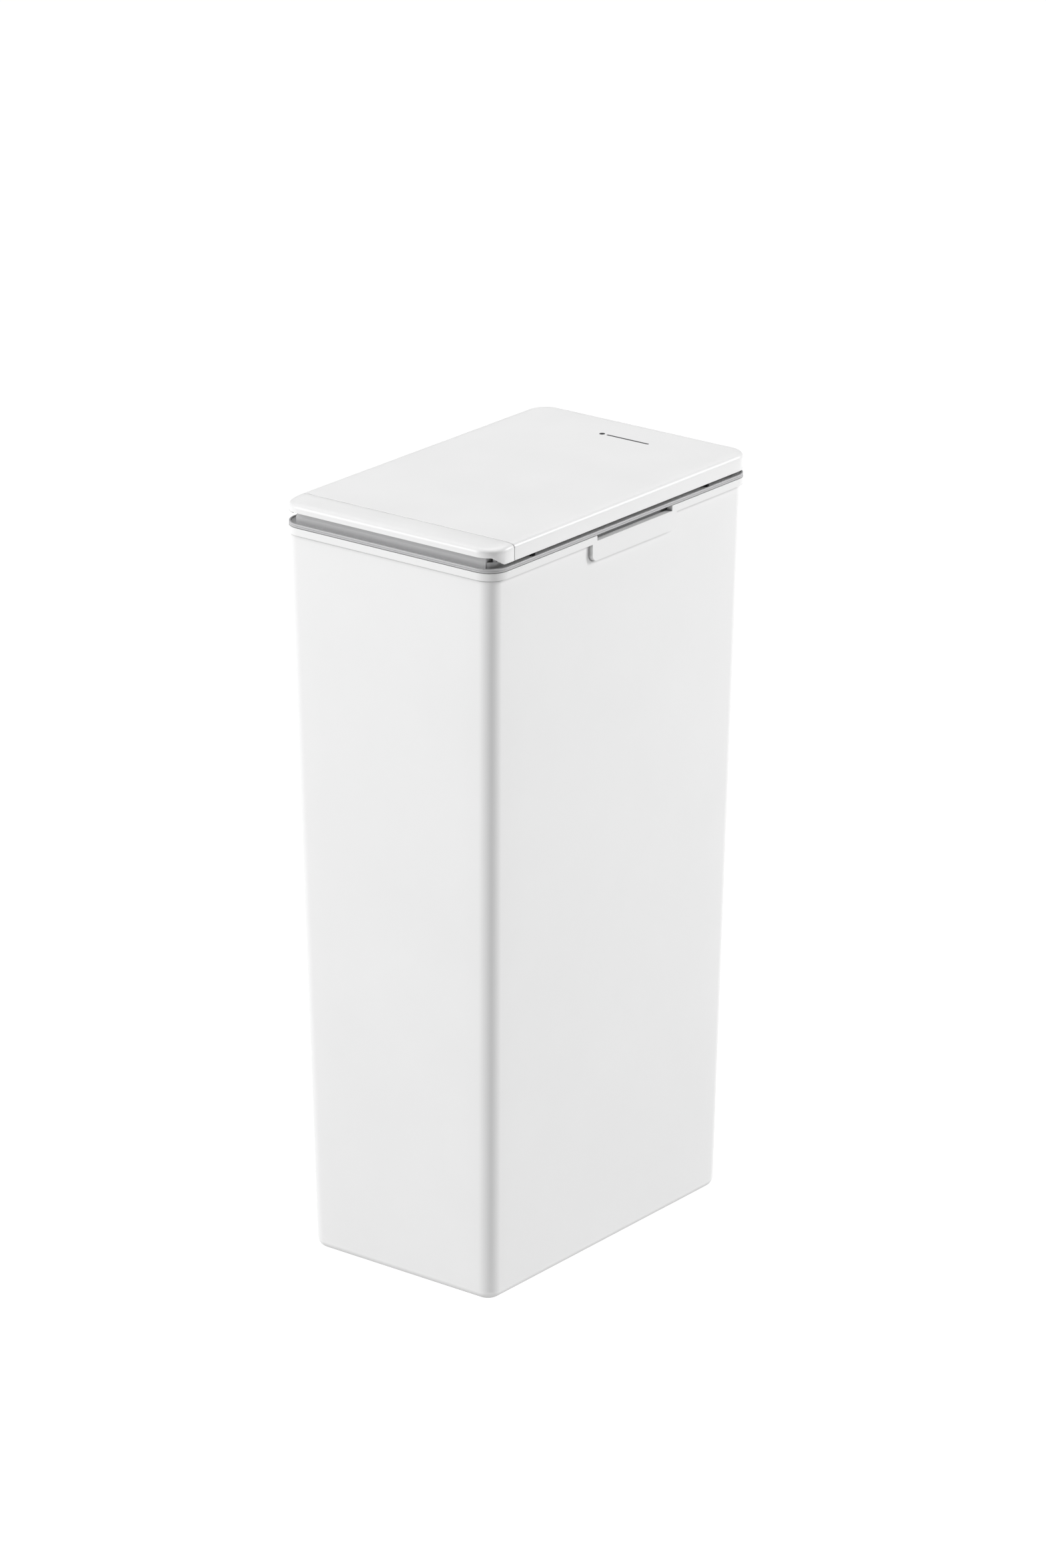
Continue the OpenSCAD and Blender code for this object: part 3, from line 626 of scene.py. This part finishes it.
def makePressBar():
    piece = blank("pressBar", back=wasteBin["barBack"])
    # The top falls a little towards the front
    run = rimHalfD - lid["crownWidth"] + wasteBin["barBack"]
    foot = wasteBin["crease"] - lid["shoulderDrop"]
    centreX, centreY = rimHalfW - rimRadius, rimHalfD - rimRadius
    for vertex in piece.data.vertices:
        x, y, z = vertex.co / mm
        if z < foot - 0.01:
            continue
        share = min(1.0, (wasteBin["barBack"] - y) / run)
        outX, outY = max(0.0, abs(x) - centreX), max(0.0, -y - centreY)
        inset = rimRadius - (outX * outX + outY * outY) ** 0.5
        forward = min(1.0, max(0.0, (bar["noseFrom"] - y) / (bar["noseFrom"] - bar["noseTo"])))
        nose = rounding(max(0.0, inset), bar["noseWidth"], bar["noseDrop"]) * forward
        vertex.co.z -= (max(0.0, z - wasteBin["crease"]) * share * bar["fall"] / lid["crownRise"] + nose) * mm
    combine(piece, cavity("hollow", back=wasteBin["barBack"] - lid["webThick"]), "DIFFERENCE")
    w = rimHalfW - lid["wall"]
    low = wasteBin["lidBottom"] + bar["raise"]
    combine(piece, toObject(boxMesh((-w, wasteBin["barBack"] - 3, wasteBin["lidBottom"] - 1),
                                    (w, wasteBin["barBack"] + 1, low)), "pass"), "DIFFERENCE")
    y = -rimHalfD
    slope = [(y - 1, wasteBin["lidBottom"] - 1),
             (y + bar["raiseDepth"] + bar["slope"] + 0.01, wasteBin["lidBottom"] - 1),
             (y + bar["raiseDepth"] + bar["slope"], wasteBin["lidBottom"]), (y + bar["raiseDepth"], low),
             (y - 1, low)]
    combine(piece, toObject(prismMesh(slope, -wasteBin["width"], wasteBin["width"]), "raised"), "DIFFERENCE")
    for name in ("bar_pin_left", "bar_pin_right"):
        pinLow, pinHigh = [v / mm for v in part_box(name)]
        y, z = (pinLow.y + pinHigh.y) / 2, (pinLow.z + pinHigh.z) / 2
        side = 1 if pinLow.x > 0 else -1
        outer = pinHigh.x if side > 0 else pinLow.x
        x0, x1 = sorted((outer, outer - side * bar["earWidth"]))
        ear = toObject(rodMesh(bar["earRadius"], x0, x1, y, z), "ear")
        combine(ear, toObject(boxMesh((x0, y - bar["earRadius"], z),
                                      (x1, y + bar["earRadius"], wasteBin["cavityTop"] + 0.5)), "web"),
                                      "UNION")
        combine(ear, toObject(rodMesh(1.55, x0 - 1, x1 + 1, y, z), "hole"), "DIFFERENCE")
        combine(piece, ear, "UNION")
    softenEdges(piece, bar["edge"])
    smooth(piece, 32)
    return finished(piece, "bar", "white_plastic", lidPolypropylene, "press_bar")


mark = {"length": 46.0, "dot": 4.4, "line": 1.8, "gap": 2.2, "thick": 0.06, "x": 7.0, "y": 120.0,
        "lift": 0.01}


def makeMark():
    # Printed on the lid near the hinge: a dot and a line
    m = mark
    z = wasteBin["crease"] + lid["crownRise"] + m["lift"]
    x0 = m["x"] - m["length"] / 2

    def capsule(left, right, radius):
        arc = [radians(90 + 180 * i / 24) for i in range(25)]
        outline = [(left + radius + radius * cos(a), m["y"] + radius * sin(a)) for a in arc]
        outline += [(right - radius - radius * cos(a), m["y"] - radius * sin(a)) for a in arc]
        return outline

    bm = bmesh.new()
    for outline in (capsule(x0, x0 + m["dot"], m["dot"] / 2),
                    capsule(x0 + m["dot"] + m["gap"], x0 + m["length"], m["line"] / 2)):
        low = [bm.verts.new((x, y, z)) for x, y in outline[:-1]]
        high = [bm.verts.new((x, y, z + m["thick"])) for x, y in outline[:-1]]
        for i in range(len(low)):
            j = (i + 1) % len(low)
            bm.faces.new((low[i], low[j], high[j], high[i]))
        bm.faces.new(list(reversed(low)))
        bm.faces.new(high)
    bmesh.ops.remove_doubles(bm, verts=bm.verts, dist=1e-3)
    piece = toObject(bm, "lidMark")
    return finished(piece, "lid", "black_acetal", markInk)


makeLidShell()
makePressBar()
makeMark()
print("lid and press bar made")


# Springs and screws, grown at points by Geometry Nodes

def nodeTree(name, inputs):
    tree = bpy.data.node_groups.new(name, "GeometryNodeTree")
    tree.interface.new_socket("Geometry", in_out="OUTPUT", socket_type="NodeSocketGeometry")
    tree.interface.new_socket("Geometry", in_out="INPUT", socket_type="NodeSocketGeometry")
    for label, kind in inputs:
        tree.interface.new_socket(label, in_out="INPUT", socket_type="NodeSocket" + kind)
    return tree, add(tree, "NodeGroupInput").outputs


def placeOnPoints(tree, given, shape):
    # The shape at every point, turned as asked, then a little about its own axis by a fixed seed
    points = add(tree, "GeometryNodeMeshToPoints", None, {"Mesh": given["Geometry"]})
    placed = add(tree, "GeometryNodeInstanceOnPoints", None,
                 {"Points": points.outputs["Points"], "Instance": shape, "Rotation": given["Rotation"]})
    spin = add(tree, "FunctionNodeRandomValue", {"data_type": "FLOAT"}, {"Seed": given["Seed"]})
    spin.inputs[3].default_value = 2 * pi
    about = add(tree, "ShaderNodeCombineXYZ", None, {"Z": spin.outputs[1]})
    turned = add(tree, "GeometryNodeRotateInstances", None,
                 {"Instances": placed.outputs["Instances"], "Rotation": about.outputs["Vector"]})
    soft = add(tree, "GeometryNodeRealizeInstances", None, {"Geometry": turned.outputs["Instances"]})
    coated = add(tree, "GeometryNodeSetMaterial", None,
                 {"Geometry": soft.outputs["Geometry"], "Material": given["Material"]})
    add(tree, "NodeGroupOutput", None, {"Geometry": coated.outputs["Geometry"]})


springInputs = [("Turns", "Float"), ("Coil Radius", "Float"), ("Wire Radius", "Float"), ("Length", "Float"),
                ("Rotation", "Rotation"), ("Seed", "Int"), ("Material", "Material")]
springTree, given = nodeTree("coiledSpring", springInputs)
path = add(springTree, "GeometryNodeCurveSpiral", {"Resolution": 40},
           {"Rotations": given["Turns"], "Start Radius": given["Coil Radius"],
            "End Radius": given["Coil Radius"], "Height": given["Length"]})
wire = add(springTree, "GeometryNodeCurvePrimitiveCircle", {"Resolution": 12},
           {"Radius": given["Wire Radius"]})
tube = add(springTree, "GeometryNodeCurveToMesh", {"Fill Caps": True},
           {"Curve": path.outputs["Curve"], "Profile Curve": wire.outputs["Curve"]})
placeOnPoints(springTree, given, tube.outputs["Mesh"])

screwInputs = [("Head Radius", "Float"), ("Head Top Radius", "Float"), ("Head Height", "Float"),
               ("Shank Radius", "Float"),
               ("Shank Length", "Float"), ("Recess", "Vector"), ("Recess Place", "Vector"),
               ("Rotation", "Rotation"), ("Seed", "Int"), ("Material", "Material")]
screwTree, given = nodeTree("crossHeadScrew", screwInputs)
head = add(screwTree, "GeometryNodeMeshCone", {"Vertices": 48},
           {"Radius Top": given["Head Radius"], "Radius Bottom": given["Head Top Radius"],
            "Depth": given["Head Height"]})
below = add(screwTree, "ShaderNodeMath", {"operation": "MULTIPLY"}, {0: given["Head Height"]})
below.inputs[1].default_value = -1.0
seat = add(screwTree, "ShaderNodeCombineXYZ", None, {"Z": below.outputs["Value"]})
headPlaced = add(screwTree, "GeometryNodeTransform", None,
                 {"Geometry": head.outputs["Mesh"], "Translation": seat.outputs["Vector"]})
slotBox = add(screwTree, "GeometryNodeMeshCube", None, {"Size": given["Recess"]})
slotPlaced = add(screwTree, "GeometryNodeTransform", None,
                 {"Geometry": slotBox.outputs["Mesh"], "Translation": given["Recess Place"]})
slotTurned = add(screwTree, "GeometryNodeTransform", {"Rotation": (0, 0, pi / 2)},
                 {"Geometry": slotPlaced.outputs["Geometry"]})
cross = add(screwTree, "GeometryNodeMeshBoolean", {"operation": "UNION"})
for part in (slotPlaced, slotTurned):
    screwTree.links.new(part.outputs["Geometry"], cross.inputs["Mesh 2"])
recessed = add(screwTree, "GeometryNodeMeshBoolean", {"operation": "DIFFERENCE"},
               {"Mesh 1": headPlaced.outputs["Geometry"], "Mesh 2": cross.outputs["Mesh"]})
shank = add(screwTree, "GeometryNodeMeshCylinder", {"Vertices": 32},
            {"Radius": given["Shank Radius"], "Depth": given["Shank Length"]})
half = add(screwTree, "ShaderNodeMath", {"operation": "MULTIPLY"}, {0: given["Shank Length"]})
half.inputs[1].default_value = 0.5
along = add(screwTree, "ShaderNodeCombineXYZ", None, {"Z": half.outputs["Value"]})
shankPlaced = add(screwTree, "GeometryNodeTransform", None,
                  {"Geometry": shank.outputs["Mesh"], "Translation": along.outputs["Vector"]})
whole = add(screwTree, "GeometryNodeJoinGeometry")
for part in (recessed.outputs["Mesh"], shankPlaced.outputs["Geometry"]):
    screwTree.links.new(part, whole.inputs["Geometry"])
placeOnPoints(screwTree, given, whole.outputs["Geometry"])


def grow(name, tree, points, values):
    # A mesh of bare points, grown by the tree and kept as a plain mesh
    mesh = bpy.data.meshes.new(name)
    mesh.from_pydata(points, [], [])
    piece = bpy.data.objects.new(name, mesh)
    bpy.context.scene.collection.objects.link(piece)
    step = piece.modifiers.new(name, "NODES")
    step.node_group = tree
    for item in tree.interface.items_tree:
        if item.in_out == "INPUT" and item.name in values:
            step[item.identifier] = values[item.name]
    applyModifiers(piece)
    smooth(piece, 40)
    return piece


screw = {"headTop": 0.84, "shankRadius": 1.1, "headHeight": 1.0, "recessWidth": 0.5, "recessLength": 1.2,
         "recessDepth": 0.5, "seed": 7}


def boxOf(name):
    return [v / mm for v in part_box(name)]


def makeScrews(pieceName, body, names, axis):
    # Head at the low end of Z, or at the high end of Y
    points, low, high = [], None, None
    for name in names:
        low, high = boxOf(name)
        cx, cy, cz = (low + high) / 2
        points.append((cx * mm, cy * mm, (low.z + screw["headHeight"]) * mm) if axis == "z"
                      else (cx * mm, (high.y - screw["headHeight"]) * mm, cz * mm))
    size = high - low
    whole = size.z if axis == "z" else size.y
    headRadius = size.x / 2
    depth = screw["recessDepth"] * screw["headHeight"]
    values = {
        "Head Radius": headRadius * mm, "Head Top Radius": screw["headTop"] * headRadius * mm,
        "Head Height": screw["headHeight"] * mm,
        "Shank Radius": screw["shankRadius"] * mm, "Shank Length": (whole - screw["headHeight"]) * mm,
        "Recess": (screw["recessLength"] * headRadius * mm, screw["recessWidth"] * mm, 2 * depth * mm),
        "Recess Place": (0.0, 0.0, -screw["headHeight"] * mm),
        "Rotation": (0.0, 0.0, 0.0) if axis == "z" else (pi / 2, 0.0, 0.0),
        "Seed": screw["seed"], "Material": zincPlate,
    }
    piece = grow(pieceName, screwTree, points, values)
    return finished(piece, body, "zinc", zincPlate, *names)


def makeSprings(pieceName, body, names, turns, wireRadius, axis):
    points, low, high = [], None, None
    for name in names:
        low, high = boxOf(name)
        cx, cy, cz = (low + high) / 2
        points.append((low.x * mm, cy * mm, cz * mm) if axis == "x" else (cx * mm, cy * mm, low.z * mm))
    inset = Vector((wireRadius * mm, 0, 0) if axis == "x" else (0, 0, wireRadius * mm))
    points = [Vector(p) + inset for p in points]
    size = high - low
    length, across = (size.x, size.z) if axis == "x" else (size.z, size.x)
    values = {
        "Turns": turns, "Coil Radius": (across / 2 - wireRadius) * mm, "Wire Radius": wireRadius * mm,
        "Length": (length - 2 * wireRadius) * mm,
        "Rotation": (0.0, pi / 2, 0.0) if axis == "x" else (0.0, 0.0, 0.0),
        "Seed": screw["seed"], "Material": drawnSteel,
    }
    piece = grow(pieceName, springTree, [tuple(p) for p in points], values)
    return finished(piece, body, "steel", drawnSteel, *names)


makeScrews("keeperScrews", "frame", ["keeper_screw_left", "keeper_screw_right"], "y")
makeScrews("bracketScrews", "lid", [n for n in nodes if n.startswith("bracket_screw")], "z")
makeScrews("linerScrews", "lid", [n for n in nodes if n.startswith("liner_screw")], "z")
makeScrews("hookScrew", "bar", ["hook_screw"], "z")
makeSprings("torsionSprings", "frame", ["torsion_spring_left", "torsion_spring_right"], 10.0, 0.4, "x")
barSprings = makeSprings("barSprings", "lid", ["bar_spring_left", "bar_spring_right"], 4.0, 0.25, "z")
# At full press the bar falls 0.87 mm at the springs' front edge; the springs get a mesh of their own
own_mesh(barSprings)
print("springs and screws grown")


# Pieces whose CAD shape is right take only a finish

finishes = {
    "lid_liner": linerPolypropylene, "latch_hook": hookAcetal,
    "hinge_pin": drawnSteel, "bar_pin": drawnSteel, "latch_keeper": zincPlate, "lid_bracket": zincPlate,
    "buffer": bufferRubber,
}
for name, node in nodes.items():
    for part, material in finishes.items():
        if part in name:
            node.data.materials.clear()
            node.data.materials.append(material)
print("small pieces finished")


# Floor, light and camera

studio = {
    "floorSize": 40.0, "floorColour": "707070", "floorGlow": 0.98, "fill": 0.02,
    "left": (-41, 3.4, 1.9, 74.0), "right": (139, 3.4, 2.2, 103.0),
    "front": (-38, 2.2, 3.0, 14.0), "sideSize": (0.8, 1.5),
    "top": (-0.5, 0.2, 2.7), "topSize": (2.8, 2.8), "topPower": 42.0,
}


def makeStudio():
    material, tree = newMaterial("paleFloor")
    shader = add(tree, "ShaderNodeBsdfPrincipled",
                 {"Base Color": linear(studio["floorColour"]), "Roughness": 0.9,
                 "Specular IOR Level": 0.0, "Emission Color": [1, 1, 1, 1],
                 "Emission Strength": studio["floorGlow"]})
    add(tree, "ShaderNodeOutputMaterial", None, {"Surface": shader.outputs["BSDF"]})
    half = studio["floorSize"] / 2
    mesh = bpy.data.meshes.new("floor")
    mesh.from_pydata([(-half, -half, 0), (half, -half, 0), (half, half, 0), (-half, half, 0)], [],
                     [(0, 1, 2, 3)])
    mesh.materials.append(material)
    floor = bpy.data.objects.new("floor", mesh)
    bpy.context.scene.collection.objects.link(floor)

    world = bpy.data.worlds.new("studio")
    bpy.context.scene.world = world
    world.use_nodes = True
    world.node_tree.nodes["Background"].inputs["Color"].default_value = (1, 1, 1, 1)
    world.node_tree.nodes["Background"].inputs["Strength"].default_value = studio["fill"]


def softbox(name, place, aim, size, power):
    light = bpy.data.lights.new(name, "AREA")
    light.shape = "RECTANGLE"
    light.size, light.size_y = size
    light.energy = power
    lamp = bpy.data.objects.new(name, light)
    lamp.location = place
    lamp.rotation_euler = (Vector(aim) - Vector(place)).to_track_quat("-Z", "Y").to_euler()
    bpy.context.scene.collection.objects.link(lamp)


def around(azimuth, distance, height):
    # Azimuth 0 is in front of the bin, 90 on its right
    return (distance * sin(radians(azimuth)), -distance * cos(radians(azimuth)), height)


view = {"azimuth": 38.019, "elevation": 20.046, "distance": 5.0306, "right": 0.00335, "up": 0.05844,
        "focal": 152.96, "middle": 0.29}


def makeCamera():
    az, el = radians(view["azimuth"]), radians(view["elevation"])
    back = Vector((sin(az) * cos(el), -cos(az) * cos(el), sin(el)))
    right = Vector((cos(az), sin(az), 0))
    up = back.cross(right)
    data = bpy.data.cameras.new("camera")
    data.lens = view["focal"]
    data.sensor_width = 36.0
    data.clip_end = 100
    camera = bpy.data.objects.new("camera", data)
    middle = Vector((0, 0, view["middle"]))
    camera.location = middle + back * view["distance"] + right * view["right"] + up * view["up"]
    camera.rotation_euler = back.to_track_quat("Z", "Y").to_euler()
    bpy.context.scene.collection.objects.link(camera)
    bpy.context.scene.camera = camera


makeStudio()
for name in ("left", "right", "front"):
    azimuth, distance, height, power = studio[name]
    softbox(name + "Softbox", around(azimuth, distance, height), (0, 0, 0.35), studio["sideSize"], power)
softbox("topSoftbox", studio["top"], (0, 0, 0.6), studio["topSize"], studio["topPower"])
makeCamera()
bpy.context.scene.view_settings.view_transform = "Standard"
print("studio ready")
